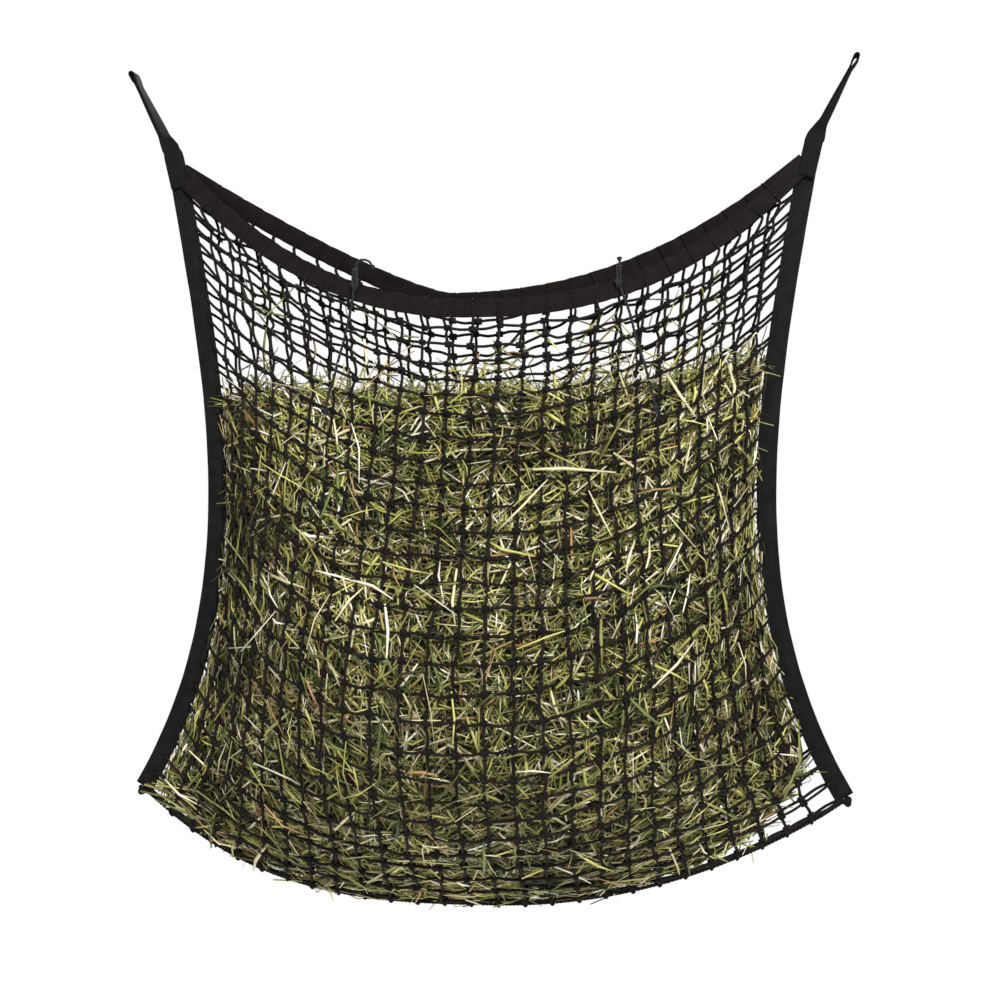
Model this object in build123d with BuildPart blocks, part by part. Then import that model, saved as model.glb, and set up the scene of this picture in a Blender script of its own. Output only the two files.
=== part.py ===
from build123d import *

import math
import os
from collections import namedtuple

os.makedirs("parts", exist_ok=True)

# A slow-feed hay net: two net panels made into a bag, edged with webbing, laced along the
# bottom, open at the top and hung by a webbing strap at each top corner.
# Millimetres. +X is to the right seen from the front, +Z is up and the front faces -Y.
# The origin is midway between the centres of the two strap eyes.

# Hanging straps
eye_x = 526.0  # eye centres, either side of the middle
eye_bore = 5.0  # radius of the hook that the eye closes on
webbing = 2.5  # thickness of one ply
strap_width = 25.0
twist_start = 80.0  # the strap turns a quarter turn from here down
corner_x = 467.0  # where the straps meet the bag
corner_z = -116.0  # height of the line that the bag swings about
fold_radius = 2.0  # rounded ends that meet at that line
fold_offset = 2.5  # each rounded end's centre above or below the line
ply_gap = 2.8  # half the space between the two plies sewn over a corner
tab_length = 52.0
tab_lean = 12.0  # how far the sewn end leans in towards the binding

# Side bindings
band_width = 28.0
binding_thickness = 5.0
side_curve = ((461.0, -131.0), (407.0, -446.0), (337.0, -756.0), (510.0, -1051.0))

# Rims and nets
rim_thickness = 3.0
rim_top_end_x = 442.0  # a rim's ends are cut aslant, along the bindings
rim_low_end_x = 434.0
rim_end_z = -138.0  # centre of a rim, produced to the corner
rim_span = 463.0
mouth_half_gap = 26.0  # from the middle plane to a rim, halfway along
net_thickness = 3.0
seam_gap = 0.5  # between a net's edge and the webbing that holds it
middle_gap = 1.5  # from the middle plane to a net's inner face, at its edges
bulge = 220.0  # from the middle plane to a net's inner face, at the fullest place
side_fullness = 3.0  # how squarely the bag is filled out towards its sides
belly_power = 1.6  # over 1 puts the fullest place below the middle
bottom_sag = 149.0
bottom_powers = (3.0, 2.1)  # how full the curve is on the left and on the right

# low_x: where the hanging rim is lowest; powers: how full its curve is to the left and the right
Panel = namedtuple("Panel", "facing sag low_x powers")
front_panel = Panel(-1, 217.0, -25.0, (2.15, 2.5))
back_panel = Panel(1, 200.0, -60.0, (1.27, 2.2))

# Hay
hay_top_z = -478.0
hay_rise = 55.0  # how much higher the hay lies at the right
hay_share = 0.955  # of a net's half width
hay_depth_share = 0.92

# Cords and knots
lacing_diameter = 6.0
lacing_clearance = 3.5
lacing_knot_radius = 6.5
tie_diameter = 4.5
tie_knot_radius = 6.5
tie_end_radius = 5.5
tie_tail = 24.0  # the short end that stands up from a tie's knot
tie_tail_radius = 3.2
tie_routes = {
    "left": [
        (-190.0, -33.0, -320.0),
        (-193.0, -34.2, -345.0),
        (-198.5, -34.6, -371.0),
        (-204.0, -36.2, -398.0),
        (-211.5, -40.6, -425.0),
        (-216.0, -48.4, -452.0),
        (-222.5, -57.4, -477.0),
        (-225.0, -68.5, -500.0),
    ],
    "right": [
        (190.0, -33.0, -320.0),
        (199.0, -34.2, -344.0),
        (207.5, -34.8, -368.0),
        (213.0, -36.0, -394.0),
        (221.5, -42.0, -421.0),
        (229.5, -50.0, -448.0),
        (235.5, -59.5, -475.0),
        (242.5, -70.5, -500.0),
    ],
}


def solve(function, target, low, high):
    """Where a falling function passes the target."""
    for _ in range(24):
        middle = (low + high) / 2
        if function(middle) > target:
            low = middle
        else:
            high = middle
    return low


def side_point(t, inward):
    """A point of the right side binding's plane, that far inward of its centre line."""
    a, b, c, d = (Vector(*point) for point in side_curve)
    s = 1 - t
    centre = a * s**3 + b * (3 * s * s * t) + c * (3 * s * t * t) + d * t**3
    along = ((b - a) * s * s + (c - b) * (2 * s * t) + (d - c) * t * t).normalized()
    return Vector(centre.X + inward * along.Y, centre.Y - inward * along.X)


def rim_height(panel, x, across):
    """Height in the rim's own plane, across the band from its centre line."""
    power = panel.powers[x > panel.low_x]
    reach = rim_span - panel.low_x if x > panel.low_x else rim_span + panel.low_x
    share = abs(x - panel.low_x) / reach
    slope = panel.sag * power * share ** (power - 1) / reach
    return -panel.sag * (1 - share**power) + across * math.sqrt(1 + slope**2)


def rim_plane(panel):
    """A hanging rim lies in a plane through its two ends, leaning out at the middle."""
    lean = math.asin(mouth_half_gap / panel.sag)
    up = Vector(0, -panel.facing * math.sin(lean), math.cos(lean))
    origin = (0, panel.facing * middle_gap, rim_end_z)
    return Plane(origin=origin, x_dir=(1, 0, 0), z_dir=Vector(1, 0, 0).cross(up))


def net_top(panel, u):
    """A point of a net's top edge, just under its rim."""
    x = rim_low_end_x * u
    height = rim_height(panel, x, -band_width / 2 - seam_gap)
    return rim_plane(panel).from_local_coords((x, height, 0))


def net_side(panel, sign, v):
    """A point of a net's left or right edge, along the binding and level with the rim's end."""
    inward = band_width / 2 + seam_gap
    end_z = net_top(panel, sign).Z
    start = solve(lambda t: side_point(t, inward).Y, end_z, 0, 0.5)
    point = side_point(start + (1 - start) * v, inward)
    return Vector(sign * point.X, 0, point.Y)


def net_bottom(u):
    """A point of both nets' bottom edge."""
    end = side_point(1, band_width / 2 + seam_gap)
    sag = bottom_sag * (1 - abs(u) ** bottom_powers[u > 0])
    return Vector(end.X * u, 0, end.Y - sag)


def net_depth(panel, u, v):
    """How far a net's inner face stands from the middle plane."""
    gap = (abs(net_top(panel, u).Y) - abs(net_top(panel, 1).Y)) * (1 - v) ** 1.5
    return gap + bulge * (1 - abs(u) ** side_fullness) * math.sin(math.pi * v**belly_power)


def net_grid(panel, rows, columns, outward=0.0):
    """Points of a panel: columns run from -1 to 1 across it, rows from 0 down to 1."""
    grid = []
    for v in rows:
        left, right = net_side(panel, -1, v), net_side(panel, 1, v)
        line = []
        for u in columns:
            east = (1 + u) / 2
            flat = left * (1 - east) + right * east + net_top(panel, u) * (1 - v)
            flat += net_bottom(u) * v
            flat -= (net_top(panel, -1) * (1 - east) + net_top(panel, 1) * east) * (1 - v)
            flat -= (net_bottom(-1) * (1 - east) + net_bottom(1) * east) * v
            depth = middle_gap + net_depth(panel, u, v) + outward
            line.append(Vector(flat.X, panel.facing * depth, flat.Z))
        grid.append(line)
    return grid


def solid_between(first_grid, second_grid):
    """The closed solid between two smooth surfaces with matching edges."""
    first = Face.make_surface_from_array_of_points(first_grid)
    second = Face.make_surface_from_array_of_points(second_grid)
    edges = zip(first.edges(), second.edges())
    walls = [Face.make_surface_from_curves(a, b) for a, b in edges]
    return Solid(Shell([first, second, *walls]))


def corner_radii(points):
    """The largest radius that each inner corner's two runs allow."""
    radii = []
    for before, corner, after in zip(points, points[1:], points[2:]):
        run = min((corner - before).length, (after - corner).length)
        turn = math.radians((corner - before).get_angle(after - corner))
        radii.append(0.45 * run / math.tan(turn / 2))
    return radii


# The straps and the webbing at each side
for side, sign in (("left", -1), ("right", 1)):
    eye = Vector(sign * eye_x, 0, 0)
    fold = Vector(sign * corner_x, 0, corner_z + fold_offset)
    along = (fold - eye).normalized()
    across = Vector(-along.Z, 0, along.X)

    with BuildPart() as hanging_strap:
        with BuildSketch(Plane.XZ):
            with Locations((eye.X, eye.Z)):
                Circle(eye_bore + webbing)
            with BuildLine():
                shoulder = eye_bore + webbing - 0.2
                outline = [
                    eye + along * 2 + across * shoulder,
                    eye + along * 26 + across * webbing,
                    eye + along * twist_start + across * webbing,
                    eye + along * twist_start - across * webbing,
                    eye + along * 26 - across * webbing,
                    eye + along * 2 - across * shoulder,
                ]
                Polyline(*[(point.X, point.Z) for point in outline], close=True)
            make_face()
            with Locations((eye.X, eye.Z)):
                Circle(eye_bore, mode=Mode.SUBTRACT)
        extrude(amount=strap_width / 2, both=True)
        with BuildSketch(Plane(origin=eye + along * twist_start, x_dir=across, z_dir=along)):
            Rectangle(2 * webbing, strap_width)
        with BuildSketch(Plane(origin=fold, x_dir=(1, 0, 0), z_dir=(0, 0, -1))):
            Rectangle(strap_width, 2 * fold_radius)
        loft(ruled=True)
        with BuildSketch(Plane.YZ.offset(fold.X - strap_width / 2)):
            with Locations((0, fold.Z)):
                Circle(fold_radius)
        extrude(amount=strap_width)
    hanging_strap.part.label = f"{side}_hanging_strap"
    export_step(hanging_strap.part, f"parts/{side}_hanging_strap.step")

    with BuildPart() as strap_tab:
        fold_z = corner_z - fold_offset
        shoulder_z = corner_z - 11
        bridge_z = corner_z - 12.5
        ply_face = ply_gap + webbing
        with BuildSketch(Plane.YZ.offset(sign * corner_x - strap_width / 2)):
            with Locations((0, fold_z)):
                Circle(fold_radius)
            with BuildLine():
                Polyline(
                    (-fold_radius, fold_z),
                    (fold_radius, fold_z),
                    (ply_face, shoulder_z),
                    (ply_face, bridge_z),
                    (-ply_face, bridge_z),
                    (-ply_face, shoulder_z),
                    close=True,
                )
            make_face()
        extrude(amount=strap_width)
        for face_y in (-ply_gap, ply_face):
            with BuildSketch(Plane.XZ.offset(-face_y)):
                with BuildLine():
                    top_x = sign * corner_x
                    foot_x = sign * (corner_x - tab_lean)
                    foot_z = corner_z - tab_length
                    Polyline(
                        (top_x - strap_width / 2, shoulder_z),
                        (top_x + strap_width / 2, shoulder_z),
                        (foot_x + strap_width / 2, foot_z),
                        (foot_x - strap_width / 2, foot_z),
                        close=True,
                    )
                make_face()
            extrude(amount=webbing)
    strap_tab.part.label = f"{side}_strap_tab"
    export_step(strap_tab.part, f"parts/{side}_strap_tab.step")

    with BuildPart() as side_binding:
        with BuildSketch(Plane.XZ):
            with BuildLine():
                steps = [step / 8 for step in range(9)]
                outer = [side_point(t, -band_width / 2) for t in steps]
                inner = [side_point(t, band_width / 2) for t in reversed(steps)]
                outer = [(sign * point.X, point.Y) for point in outer]
                inner = [(sign * point.X, point.Y) for point in inner]
                Spline(*outer)
                Line(outer[-1], inner[0])
                Spline(*inner)
                Line(inner[-1], outer[0])
            make_face()
        extrude(amount=binding_thickness / 2, both=True)
    side_binding.part.label = f"{side}_side_binding"
    export_step(side_binding.part, f"parts/{side}_side_binding.step")

# The rims and the nets
for name, panel in (("front", front_panel), ("back", back_panel)):
    with BuildPart() as rim:
        with BuildSketch(rim_plane(panel)):
            with BuildLine():
                shares = [step / 6 for step in range(-6, 7)]
                half = band_width / 2
                top = [rim_top_end_x * share for share in shares]
                top = [(x, rim_height(panel, x, half)) for x in top]
                low = [rim_low_end_x * share for share in reversed(shares)]
                low = [(x, rim_height(panel, x, -half)) for x in low]
                Spline(*top)
                Line(top[-1], low[0])
                Spline(*low)
                Line(low[-1], top[0])
            make_face()
        extrude(amount=-panel.facing * rim_thickness)
    rim.part.label = f"{name}_rim_webbing"
    export_step(rim.part, f"parts/{name}_rim_webbing.step")

    with BuildPart() as net:
        rows = [step / 12 for step in range(13)]
        columns = [step / 8 for step in range(-8, 9)]
        inside = net_grid(panel, rows, columns)
        outside = net_grid(panel, rows, columns, net_thickness)
        add(solid_between(inside, outside))
    net.part.label = f"{name}_net"
    export_step(net.part, f"parts/{name}_net.step")

# The hay between the nets
with BuildPart() as hay_fill:
    faces = []
    for panel in (front_panel, back_panel):
        columns = []
        for step in range(-7, 8):
            u = hay_share * step / 7
            height = hay_top_z + hay_rise * max(u, 0) ** 3
            top = solve(lambda v: net_grid(panel, [v], [u])[0][0].Z, height, 0, 0.9)
            low = 0.97 - 0.10 * abs(u) ** 8
            rows = [top + (low - top) * row / 10 for row in range(11)]
            column = net_grid(panel, rows, [u])
            columns.append([Vector(p.X, p.Y * hay_depth_share, p.Z) for (p,) in column])
        faces.append(columns)
    add(solid_between(*faces))
hay_fill.part.label = "hay_fill"
export_step(hay_fill.part, "parts/hay_fill.step")

# The cord laced through both nets' bottom edges, and the knots at its ends
below = Vector(0, 0, -lacing_diameter / 2 - lacing_clearance)
binding_end = side_point(1, 0)
knot_drop = side_point(1, 0) - side_point(0.98, 0)
knot_drop = knot_drop.normalized() * (lacing_knot_radius + 0.3)
knot_centres = {}
for side, sign in (("left", -1), ("right", 1)):
    knot_x, knot_z = binding_end.X + knot_drop.X, binding_end.Y + knot_drop.Y
    knot_centres[side] = Vector(sign * knot_x, 0, knot_z)
    with BuildPart() as lacing_knot:
        with Locations(knot_centres[side]):
            Sphere(lacing_knot_radius)
    lacing_knot.part.label = f"{side}_lacing_knot"
    export_step(lacing_knot.part, f"parts/{side}_lacing_knot.step")

lacing_points = [net_bottom(step / 7) + below for step in range(-6, 7)]
lacing_points = [knot_centres["left"], *lacing_points, knot_centres["right"]]
lacing_radii = corner_radii(lacing_points)
with BuildPart() as bottom_lacing_cord:
    with BuildLine() as lacing_line:
        FilletPolyline(*lacing_points, radius=lacing_radii)
    with BuildSketch(Plane(lacing_line.wire() @ 0, z_dir=lacing_line.wire() % 0)):
        Circle(lacing_diameter / 2)
    sweep()
bottom_lacing_cord.part.label = "bottom_lacing_cord"
export_step(bottom_lacing_cord.part, "parts/bottom_lacing_cord.step")
print("bottom lacing radii", [round(radius) for radius in lacing_radii])

# The tie cords, each with a knot at the front rim and a stopper knot at its free end
for side, sign in (("left", -1), ("right", 1)):
    route = [Vector(*point) for point in tie_routes[side]]
    radii = corner_radii(route)
    with BuildPart() as tie_cord:
        with BuildLine() as tie_line:
            FilletPolyline(*route, radius=radii)
        with BuildSketch(Plane(tie_line.wire() @ 0, z_dir=tie_line.wire() % 0)):
            Circle(tie_diameter / 2)
        sweep()
    tie_cord.part.label = f"{side}_tie_cord"
    export_step(tie_cord.part, f"parts/{side}_tie_cord.step")
    length = tie_line.wire().length
    share = tie_cord.part.volume / (math.pi * tie_diameter**2 / 4 * length)
    print(side, "tie radii", [round(radius) for radius in radii])
    print(side, "tie length", round(length, 1), "volume over section times length", round(share, 4))

    knot_centre = route[0] + Vector(0, 0, 3)
    tail_top = knot_centre + Vector(2, 4, tie_tail)
    with BuildPart() as tie_knot:
        with Locations(knot_centre):
            Sphere(tie_knot_radius)
        with BuildLine() as tail_line:
            Line(knot_centre, tail_top)
        with BuildSketch(Plane(knot_centre, z_dir=tail_top - knot_centre)):
            Circle(tie_diameter / 2)
        sweep()
        with Locations(tail_top):
            Sphere(tie_tail_radius)
    tie_knot.part.label = f"{side}_tie_knot"
    export_step(tie_knot.part, f"parts/{side}_tie_knot.step")

    with BuildPart() as tie_end_knot:
        with Locations(route[-1] + Vector(0, 0, -2)):
            Sphere(tie_end_radius)
    tie_end_knot.part.label = f"{side}_tie_end_knot"
    export_step(tie_end_knot.part, f"parts/{side}_tie_end_knot.step")
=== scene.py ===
import math
from collections import namedtuple

import bmesh
import bpy
import numpy as np
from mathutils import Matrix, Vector


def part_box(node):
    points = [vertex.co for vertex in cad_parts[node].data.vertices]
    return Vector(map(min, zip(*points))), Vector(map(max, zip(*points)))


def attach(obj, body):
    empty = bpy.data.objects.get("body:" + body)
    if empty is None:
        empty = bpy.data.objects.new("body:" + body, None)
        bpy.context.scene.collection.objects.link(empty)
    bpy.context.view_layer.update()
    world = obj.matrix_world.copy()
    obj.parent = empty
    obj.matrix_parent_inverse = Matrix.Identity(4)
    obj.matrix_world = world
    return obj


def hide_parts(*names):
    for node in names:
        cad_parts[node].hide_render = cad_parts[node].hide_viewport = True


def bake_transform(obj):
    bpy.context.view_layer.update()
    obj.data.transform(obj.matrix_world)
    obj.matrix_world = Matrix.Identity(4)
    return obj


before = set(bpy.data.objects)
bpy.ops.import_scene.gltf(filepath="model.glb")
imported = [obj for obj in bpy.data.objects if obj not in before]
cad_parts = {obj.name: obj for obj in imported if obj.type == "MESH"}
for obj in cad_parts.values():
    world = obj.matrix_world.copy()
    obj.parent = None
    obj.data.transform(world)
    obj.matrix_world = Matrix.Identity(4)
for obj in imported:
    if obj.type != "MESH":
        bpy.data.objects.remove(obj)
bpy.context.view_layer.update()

# Metres, in the CAD frame: +X to the right seen from the front, +Z up, the front faces -Y.
# The bag's own dimensions, as its CAD source has them.
EYE_X = 0.526
CORNER_X = 0.467
HINGE_Z = -0.116
TAB_LENGTH = 0.052
TAB_LEAN = 0.012
SIDE_CURVE = np.array([(0.461, -0.131), (0.407, -0.446), (0.337, -0.756), (0.510, -1.051)])
BAND_WIDTH = 0.028
RIM_LOW_END_X = 0.434
RIM_END_Z = -0.138
RIM_SPAN = 0.463
RIM_THICKNESS = 0.003
RIM_SEWN_X = 0.455  # the rims' ends lie over the bindings, under the straps' sewn ends
MOUTH_HALF_GAP = 0.026
SEAM_GAP = 0.0005
MIDDLE_GAP = 0.0015
BULGE = 0.220
SIDE_FULLNESS = 3.0
BELLY_POWER = 1.6
BOTTOM_SAG = 0.149
BOTTOM_POWERS = (3.0, 2.1)
HAY_TOP_Z = -0.478
HAY_RISE = 0.055
LACING_DROP = 0.0065  # from the nets' bottom edge down to the lacing cord's centre
LACING_RADIUS = 0.003

# low_x: where the hanging rim is lowest; powers: how full its curve is to the left and the right
Panel = namedtuple("Panel", "name facing sag low_x powers")
FRONT = Panel("front", -1, 0.217, -0.025, (2.15, 2.5))
BACK = Panel("back", 1, 0.200, -0.060, (1.27, 2.2))

# The netting
COLUMNS = 27
ROWS = 28
TWINE_RADIUS = 0.0021
FIRST_ROW = 0.5  # the first row's knots hang this share of a mesh below the rim
SLACK_ROW = 0.68  # the slack rows over the hay are this share of the full ones' height

EAST = np.array([1.0, 0, 0])

# A shape's points and four-sided faces; lay is each point's place along and across the webbing or
# twine, in metres, with a third number that differs from strand to strand
Shape = namedtuple("Shape", "points faces lay")


# ---- the bag's surfaces

def smoothstep(t):
    """From 0 to 1, level at both ends."""
    t = np.clip(t, 0, 1)
    return t * t * (3 - 2 * t)


def unit(vectors):
    """The vectors, each of length one."""
    length = np.linalg.norm(vectors, axis=-1, keepdims=True)
    return vectors / np.maximum(length, 1e-12)


def side_point(t, inward):
    """Points (x, z) of the right binding's plane, that far inward of its centre line."""
    t = np.asarray(t, float)[..., None]
    s = 1 - t
    a, b, c, d = SIDE_CURVE
    centre = a * s**3 + 3 * b * s * s * t + 3 * c * s * t * t + d * t**3
    along = unit((b - a) * s * s + 2 * (c - b) * s * t + (d - c) * t * t)
    return centre + inward * np.stack([along[..., 1], -along[..., 0]], -1)


def rim_curve(panel, x):
    """The rim curve's height over its lowest point, and its slope."""
    right = x > panel.low_x
    power = np.where(right, panel.powers[1], panel.powers[0])
    reach = np.where(right, RIM_SPAN - panel.low_x, RIM_SPAN + panel.low_x)
    share = np.abs(x - panel.low_x) / reach
    slope = np.sign(x - panel.low_x) * panel.sag * power * share ** (power - 1) / reach
    return panel.sag * share**power, slope


def rim_height(panel, x, across):
    """Height in the rim's own leaning plane, across the band from its centre line."""
    rise, slope = rim_curve(panel, x)
    return across * np.sqrt(1 + slope**2) - panel.sag + rise


def rim_directions(panel):
    """The rim plane's upward and outward directions."""
    sine = MOUTH_HALF_GAP / panel.sag
    cosine = math.sqrt(1 - sine * sine)
    up = np.array([0, -panel.facing * sine, cosine])
    outward = np.array([0, panel.facing * cosine, sine])
    return up, outward


def rim_point(panel, x, height, outward=0.0):
    """Points at that height in the rim's plane, and that far out of it."""
    up, out = rim_directions(panel)
    x, height = np.broadcast_arrays(np.asarray(x, float), height)
    origin = np.array([0, panel.facing * MIDDLE_GAP, RIM_END_Z])
    flat = origin + height[..., None] * up + np.asarray(outward)[..., None] * out
    return flat + x[..., None] * EAST


def net_top(panel, u):
    """Points of a net's top edge, just under its rim."""
    x = RIM_LOW_END_X * np.asarray(u, float)
    return rim_point(panel, x, rim_height(panel, x, -BAND_WIDTH / 2 - SEAM_GAP))


def net_side(panel, sign, v):
    """Points of a net's left or right edge, along the binding."""
    inward = BAND_WIDTH / 2 + SEAM_GAP
    fine = np.linspace(0, 0.5, 2001)
    start = np.interp(-net_top(panel, sign)[2], -side_point(fine, inward)[:, 1], fine)
    point = side_point(start + (1 - start) * np.asarray(v, float), inward)
    return np.stack([sign * point[..., 0], 0 * point[..., 0], point[..., 1]], -1)


def net_bottom(u):
    """Points of both nets' bottom edge."""
    u = np.asarray(u, float)
    end_x, end_z = side_point(1, BAND_WIDTH / 2 + SEAM_GAP)
    power = np.where(u > 0, BOTTOM_POWERS[1], BOTTOM_POWERS[0])
    return np.stack([end_x * u, 0 * u, end_z - BOTTOM_SAG * (1 - np.abs(u) ** power)], -1)


def net_point(panel, u, v, outward=0.0):
    """Points of a net: u from -1 to 1 across it, v from 0 at its top to 1 at its bottom."""
    u, v, outward = np.broadcast_arrays(*(np.asarray(a, float) for a in (u, v, outward)))
    east, low = ((1 + u) / 2)[..., None], v[..., None]
    top, bottom = net_top(panel, u), net_bottom(u)
    flat = net_side(panel, -1, v) * (1 - east) + net_side(panel, 1, v) * east
    flat = flat + top * (1 - low) + bottom * low
    flat -= (net_top(panel, -1) * (1 - east) + net_top(panel, 1) * east) * (1 - low)
    flat -= (net_bottom(-1) * (1 - east) + net_bottom(1) * east) * low
    gap = (np.abs(top[..., 1]) - abs(net_top(panel, 1)[1])) * (1 - v) ** 1.5
    fullness = (1 - np.abs(u) ** SIDE_FULLNESS) * np.sin(np.pi * v**BELLY_POWER)
    flat[..., 1] = panel.facing * (MIDDLE_GAP + gap + BULGE * fullness + outward)
    return flat


def net_frames(panel, u, v):
    """Unit directions across, down and out of a net."""
    step = 1e-3
    east = unit(net_point(panel, u + step, v) - net_point(panel, u - step, v))
    down = net_point(panel, u, np.minimum(v + step, 1)) - net_point(panel, u, np.maximum(v - step, 0))
    out = unit(np.cross(east, down)) * panel.facing
    out *= np.sign((out[..., 1:2] * panel.facing) + 1e-9)
    return east, unit(down), out


def distances(line):
    """How far each of a line's points is along it."""
    return np.concatenate([[0], np.cumsum(np.linalg.norm(np.diff(line, axis=0), axis=1))])


def sampled(vectors, length, at):
    """The vectors, given at those lengths along a line, at other places along it."""
    return np.stack([np.interp(at, length, vectors[:, k]) for k in range(3)], -1)


def along_line(line, values, shares):
    """The values at the places that are these shares of a line's length from its start."""
    length = distances(line)
    return np.interp(np.asarray(shares) * length[-1], length, values)


# ---- mesh making

def quads(near, far, corner, turned):
    """Four-sided faces that join two lots of points."""
    faces = [near + corner, near + turned, far + turned, far + corner]
    return np.stack(faces, -1).reshape(-1, 4)


def joined(shapes):
    """One shape out of several."""
    starts = np.cumsum([0] + [len(shape.points) for shape in shapes[:-1]])
    faces = [shape.faces + start for shape, start in zip(shapes, starts)]
    points = np.concatenate([shape.points for shape in shapes])
    return Shape(points, np.concatenate(faces), np.concatenate([shape.lay for shape in shapes]))


def piece(name, shape, material, nodes=()):
    """A smooth mesh object that stands for the CAD nodes named."""
    mesh = bpy.data.meshes.new(name)
    mesh.from_pydata(shape.points, [], shape.faces.tolist())
    mesh.polygons.foreach_set("use_smooth", np.ones(len(shape.faces), bool))
    attribute = mesh.attributes.new("lay", "FLOAT_VECTOR", "POINT")
    attribute.data.foreach_set("vector", shape.lay.astype(np.float32).ravel())
    mesh.materials.append(material)
    made = bpy.data.objects.new(name, mesh)
    bpy.context.scene.collection.objects.link(made)
    if nodes:
        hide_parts(*nodes)
    return made


def smooth_line(points, steps, closed=False):
    """A Catmull-Rom curve through the points."""
    points = np.asarray(points, float)
    if closed:
        padded = np.concatenate([points[-1:], points, points[:2]])
    else:
        padded = np.concatenate([2 * points[:1] - points[1:2], points, 2 * points[-1:] - points[-2:-1]])
    t = np.linspace(0, 1, steps, endpoint=False)[None, :, None]
    a, b, c, d = (padded[i : len(padded) - 3 + i, None] for i in range(4))
    curve = 0.5 * (2 * b + (c - a) * t + (2 * a - 5 * b + 4 * c - d) * t**2)
    curve = curve + 0.5 * (3 * b - a - 3 * c + d) * t**3
    curve = curve.reshape(-1, points.shape[1])
    return curve if closed else np.concatenate([curve, points[-1:]])


def sweep(line, across, out, section, seed=0.0, closed=False):
    """A section (width, thickness) with an even number of points carried along a line."""
    line = np.asarray(line, float)
    count, sides = len(line), np.shape(section)[-2]
    section = np.broadcast_to(section, (count, sides, 2))
    points = line[:, None] + section[..., :1] * across[:, None] + section[..., 1:] * out[:, None]
    ring, corner = np.arange(count if closed else count - 1)[:, None], np.arange(sides)[None]
    following = (ring + 1) % count
    turned = (corner + 1) % sides
    faces = quads(ring * sides, following * sides, corner, turned)
    if not closed:
        fan = np.array([(0, i, i + 1, i + 2) for i in range(1, sides - 2, 2)])
        faces = np.concatenate([faces, fan[:, ::-1], fan + (count - 1) * sides])
    lay = np.zeros((count, sides, 3))
    lay[..., 0] = distances(line)[:, None]
    lay[..., 1] = section[..., 0] + (section[..., 1] if sides <= 8 else 0)
    lay[..., 2] = seed
    return Shape(points.reshape(-1, 3), faces, lay.reshape(-1, 3))


def directions(line, reference, closed=False):
    """Directions across a line, square to it, nearest to square to the reference."""
    if closed:
        along = unit(np.roll(line, -1, axis=0) - np.roll(line, 1, axis=0))
    else:
        along = unit(np.gradient(line, axis=0))
    across = unit(np.cross(along, np.broadcast_to(reference, line.shape)))
    return across, np.cross(across, along)


def circle(radius, sides=6):
    """A round section, or one for each of several radii."""
    angle = np.arange(sides) * 2 * math.pi / sides
    shape = np.stack([np.cos(angle), np.sin(angle)], -1)
    return shape * np.asarray(radius)[..., None, None]


def tube(line, radius, reference, sides=6, seed=0.0, closed=False):
    """A round section carried along a line."""
    line = np.asarray(line, float)
    across, out = directions(line, reference, closed)
    return sweep(line, across, out, circle(radius, sides), seed, closed)


def knot_shape(centre, size, radius, turn=0.0, seed=0.0):
    """A tight overhand knot: a trefoil of cord about that far across."""
    t = np.linspace(0, 2 * math.pi, 48, endpoint=False)
    x, z = np.sin(t) + 2 * np.sin(2 * t), np.cos(t) - 2 * np.cos(2 * t)
    wave = np.stack([x, -1.3 * np.sin(3 * t), z], -1)
    cosine, sine = math.cos(turn), math.sin(turn)
    spin = np.array([(cosine, 0, sine), (0, 1, 0), (-sine, 0, cosine)])
    line = wave / 3 * (size / 2 - radius) @ spin + centre
    return tube(line, radius, (0, 1, 0), 8, seed, closed=True)


# ---- materials

def material(name, roughness, specular):
    """A node material, its node tree and its Principled shader."""
    made = bpy.data.materials.new(name)
    made.use_nodes = True
    shader = made.node_tree.nodes["Principled BSDF"]
    shader.inputs["Roughness"].default_value = roughness
    shader.inputs["Specular IOR Level"].default_value = specular
    return made, made.node_tree, shader


def math_node(tree, operation, first, second=None):
    """A Math node's result from sockets or numbers."""
    node = tree.nodes.new("ShaderNodeMath")
    node.operation = operation
    for socket, value in zip(node.inputs, (first, second)):
        if isinstance(value, (int, float)):
            socket.default_value = value
        elif value is not None:
            tree.links.new(value, socket)
    return node.outputs[0]


def scaled(tree, value, factor, plus=0.0):
    """value * factor + plus."""
    return math_node(tree, "ADD", math_node(tree, "MULTIPLY", value, factor), plus)


def lay_parts(tree):
    """The lay attribute's whole vector and its three numbers."""
    attribute = tree.nodes.new("ShaderNodeAttribute")
    attribute.attribute_name = "lay"
    split = tree.nodes.new("ShaderNodeSeparateXYZ")
    tree.links.new(attribute.outputs["Vector"], split.inputs[0])
    return attribute.outputs["Vector"], split.outputs[0], split.outputs[1], split.outputs[2]


def noise(tree, vector, scale, detail=3.0):
    """A noise texture's factor."""
    node = tree.nodes.new("ShaderNodeTexNoise")
    node.inputs["Scale"].default_value = scale
    node.inputs["Detail"].default_value = detail
    if vector is not None:
        tree.links.new(vector, node.inputs["Vector"])
    return node.outputs["Fac"]


def ramp(tree, factor, stops):
    """A colour ramp's colour for a factor, from (place, colour) stops."""
    node = tree.nodes.new("ShaderNodeValToRGB")
    elements = node.color_ramp.elements
    while len(elements) < len(stops):
        elements.new(0.5)
    for element, (place, colour) in zip(elements, stops):
        element.position = place
        element.color = (*colour, 1)
    tree.links.new(factor, node.inputs[0])
    return node.outputs[0]


def bump(tree, shader, height, strength, distance):
    """Gives a shader relief from a height."""
    node = tree.nodes.new("ShaderNodeBump")
    node.inputs["Strength"].default_value = strength
    node.inputs["Distance"].default_value = distance
    tree.links.new(height, node.inputs["Height"])
    tree.links.new(node.outputs[0], shader.inputs["Normal"])


def rest_position(tree):
    """Each point's place in the piece's own space."""
    node = tree.nodes.new("ShaderNodeTexCoord")
    return node.outputs["Object"]


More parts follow.
